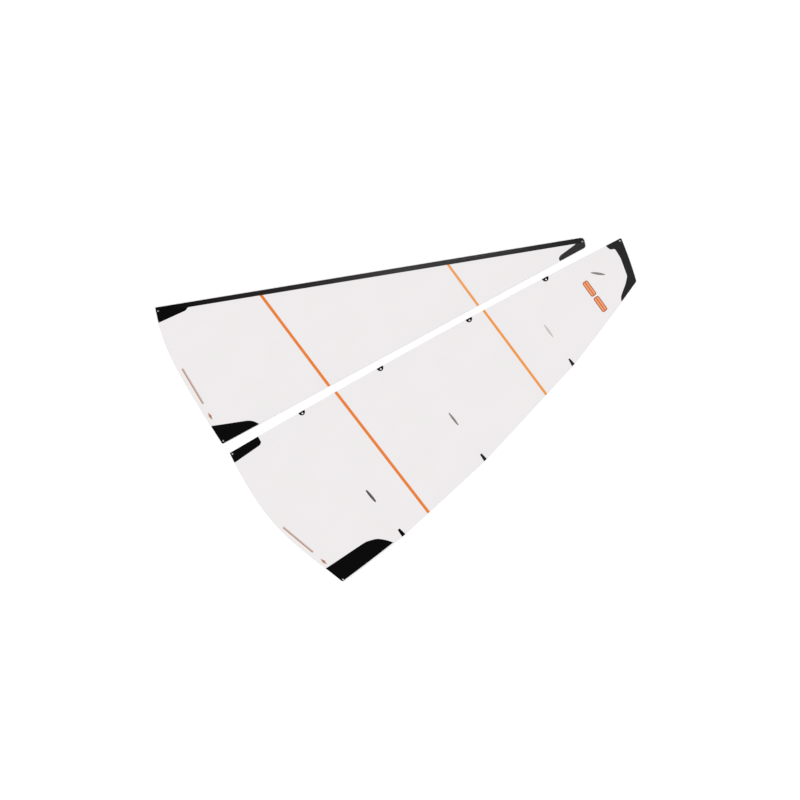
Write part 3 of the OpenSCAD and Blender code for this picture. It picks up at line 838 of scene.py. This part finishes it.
def stations(length, part):
    """Where the swept front has a section, as shares of its length: closer together where it bends."""
    if part == "middle":
        return np.linspace(0, 1, math.ceil(length / FILM_STEP) + 1)
    bent = 1.3 * FOLD_REACH     # the folds lean, so they reach further along the luff
    near = np.linspace(0, bent, math.ceil(bent / BEND_STEP), endpoint=False)
    far = np.linspace(bent, length, math.ceil((length - bent) / FILM_STEP) + 1)
    shares = np.concatenate([near, far]) / length
    return shares if part == "upper" else 1 - shares[::-1]


def faced_out(made):
    """The object with all its faces turned outward."""
    shell = bmesh.new()
    shell.from_mesh(made.data)
    bmesh.ops.recalc_face_normals(shell, faces=shell.faces)
    shell.to_mesh(made.data)
    shell.free()
    return made


# The fold below and above each length of the sleeve
SLEEVE_ENDS = {
    "lower": (None, "jib_lower_fold"),
    "middle": ("jib_lower_fold", "jib_upper_fold"),
    "upper": ("jib_upper_fold", None),
}


def sleeve_piece(part):
    """One length of the luff sleeve: two flat flanges, and the swept front between them."""
    node, sail = f"jib_{part}_luff_sleeve", "jib"
    fold = None if part == "middle" else f"jib_{part}_fold"
    mesh = Mesh(sail)
    middle = SAILS[sail]["middle"]
    loops = outlines(node, round(middle + FILM_HALF + PATCH_T, 6))
    loops = [c for c in (clipped(loop, sail, SWEEP_N) for loop in loops) if c is not None]
    if fold:
        loops = closed_up(loops, fold)
    for low in (middle + FILM_HALF, middle - FILM_HALF - PATCH_T):
        mesh.add_layer(loops, low, low + PATCH_T, PATCH_STEP, fold)
    outer, inner = banded(sleeve_section())
    ring = np.concatenate([outer, inner[::-1]])
    n, z = ring.T
    below, above = SLEEVE_ENDS[part]
    starts = fold_crossing(below, n) if below else np.zeros(len(ring))
    ends = fold_crossing(above, n) if above else head_end(n)
    shares = stations((ends - starts).max(), part)
    count = len(shares) - 1
    size, half, points, faces = len(ring), len(outer), [], []
    for share in shares:
        s = starts + (ends - starts) * share
        points.extend(np.column_stack([to_row(np.column_stack([s, n]), sail), middle + z]))
    for k in range(count):
        for i in range(size):
            j = (i + 1) % size
            faces.append((k * size + i, k * size + j, (k + 1) * size + j, (k + 1) * size + i))
    for first in (0, count * size):
        last = first + size - 1
        faces.extend((first + i, first + i + 1, last - 1 - i, last - i) for i in range(half - 1))
    no_edge = 5 * MM            # far enough from a cut edge to have none of its tone
    mesh.add(points, faces, [no_edge] * len(points))
    return dress(faced_out(mesh.build(f"sleeve_{node}", crease=50)), SLEEVE, node, fold)


for part in ("lower", "middle", "upper"):
    sleeve_piece(part)


# ---- Eyelets: turned barrels with rolled rims on both faces ----

EYELET_RIM = [
    (1.25, 0.00), (1.25, 0.26), (1.28, 0.35), (1.36, 0.43), (1.48, 0.48), (1.64, 0.50), (1.82, 0.49),
    (2.00, 0.45), (2.15, 0.385), (2.26, 0.30), (2.30, 0.235), (2.27, 0.205), (2.18, 0.20), (1.60, 0.20),
    (1.55, 0.17), (1.55, 0.00),
]  # radius and height above the sail's mid-plane, in millimetres


def eyelet(node):
    """One eyelet, its rim profile turned about the mount's axis."""
    turns = 48
    x, y, z = spot(node)
    profile = EYELET_RIM + [(r, -h) for r, h in EYELET_RIM[-2:0:-1]]
    mesh, points, faces, size = Mesh(sail_of(node)), [], [], len(profile)
    for k in range(turns):
        w = 2 * math.pi * k / turns
        points.extend((x + r * MM * math.cos(w), y + r * MM * math.sin(w), z + h * MM) for r, h in profile)
    for k in range(turns):
        for i in range(size):
            a, b = k * size, (k + 1) % turns * size
            j = (i + 1) % size
            faces.append((a + i, a + j, b + j, b + i))
    mesh.add(points, faces, [0.0] * len(points))
    return dress(faced_out(mesh.build(f"eyelet_{node}", crease=60)), METAL, node)


for sail in SAILS.values():
    for node in sail["eyes"]:
        eyelet(node)


# ---- What each film panel was cut to, and what is stuck on it ----

ON_PANEL = {
    "mainsail_lower": ["mainsail_tack_patch", "mainsail_clew_patch", "luff_hole_patch_1", "batten_1",
                       "batten_tip_patch_1", "batten_leech_tab_1", "mainsail_foot_stripe",
                       "mainsail_foot_pinstripe", "mainsail_tack_eyelet", "mainsail_clew_eyelet"],
    "mainsail_middle": ["mainsail_lower_seam_tape", "mainsail_upper_seam_tape", "luff_hole_patch_2",
                        "luff_hole_patch_3", "batten_2", "batten_tip_patch_2", "batten_leech_tab_2"],
    "mainsail_upper": ["mainsail_head_patch", "mainsail_head_eyelet", "luff_hole_patch_4", "batten_3",
                       "batten_4", "batten_tip_patch_3", "batten_tip_patch_4", "batten_leech_tab_3",
                       "mainsail_head_mark"],
    "jib_lower": ["jib_lower_luff_sleeve", "jib_tack_patch", "jib_clew_patch", "jib_tack_eyelet",
                  "jib_clew_eyelet", "jib_foot_stripe", "jib_foot_pinstripe"],
    "jib_middle": ["jib_middle_luff_sleeve", "jib_lower_seam_tape", "jib_upper_seam_tape"],
    "jib_upper": ["jib_upper_luff_sleeve", "jib_head_patch", "jib_head_eyelet"],
}

for panel, others in ON_PANEL.items():
    node, sail = f"{panel}_panel", sail_of(panel)
    loops = outlines(node, levels(node)[-1])


# ---- Floor, light and camera ----

FLOOR_HALF = 9.0            # half the floor's width, in metres
FLOOR_GAP = 0.02 * MM       # the floor lies this far under the sails, so that no two faces coincide


def floor():
    """A plain pale floor with a faint unevenness of tone."""
    data = bpy.data.meshes.new("floor")
    shell = bmesh.new()
    bmesh.ops.create_grid(shell, x_segments=8, y_segments=8, size=FLOOR_HALF)
    shell.to_mesh(data)
    shell.free()
    made = bpy.data.objects.new("floor", data)
    made.location.z = -FLOOR_GAP
    bpy.context.scene.collection.objects.link(made)
    paper = bpy.data.materials.new("floor_paper")
    paper.use_nodes = True
    tree = paper.node_tree
    shader = tree.nodes["Principled BSDF"]
    shader.inputs["Roughness"].default_value = 0.8
    shader.inputs["Specular IOR Level"].default_value = 0.2
    where = tree.nodes.new("ShaderNodeTexCoord")
    grain = tree.nodes.new("ShaderNodeTexNoise")
    grain.inputs["Scale"].default_value = 3.0
    tone = tree.nodes.new("ShaderNodeMix")
    tone.data_type = "RGBA"
    tone.inputs[6].default_value = (0.93, 0.93, 0.93, 1)
    tone.inputs[7].default_value = (0.95, 0.95, 0.95, 1)
    tree.links.new(where.outputs["Object"], grain.inputs["Vector"])
    tree.links.new(grain.outputs["Fac"], tone.inputs[0])
    tree.links.new(tone.outputs[2], shader.inputs["Base Color"])
    data.materials.append(paper)


def soft_light(name, direction, strength, spread):
    """A broad even light that comes from a direction, as from a large diffuser far off."""
    data = bpy.data.lights.new(name, "SUN")
    data.energy, data.angle = strength, math.radians(spread)
    made = bpy.data.objects.new(name, data)
    made.location = direction
    made.rotation_euler = (-Vector(direction)).to_track_quat("-Z", "Y").to_euler()
    bpy.context.scene.collection.objects.link(made)


floor()
soft_light("key", (-2.2, 2.6, 3.2), strength=0.81, spread=40)
soft_light("fill", (2.8, -1.6, 2.8), strength=0.38, spread=60)

world = bpy.data.worlds.new("studio")
world.use_nodes = True
background = world.node_tree.nodes["Background"]
background.inputs["Color"].default_value = (1.0, 1.0, 1.0, 1)
background.inputs["Strength"].default_value = 0.885
bpy.context.scene.world = world

VIEW_CENTRE = (-0.10974, -0.08)     # the point of the floor below the camera
VIEW_WIDTH = 1.92                   # how much of the floor the picture is wide
VIEW_TURN = -28.8                   # how the picture lies round the vertical, in degrees
camera_data = bpy.data.cameras.new("camera")
camera_data.lens = 100
camera_data.sensor_width = 36
camera = bpy.data.objects.new("camera", camera_data)
camera.location = (*VIEW_CENTRE, VIEW_WIDTH * camera_data.lens / camera_data.sensor_width)
camera.rotation_euler = (0, 0, math.radians(VIEW_TURN))
bpy.context.scene.collection.objects.link(camera)
bpy.context.scene.camera = camera
bpy.context.scene.view_settings.view_transform = "Standard"
bpy.context.scene.view_settings.look = "None"

bpy.context.view_layer.update()
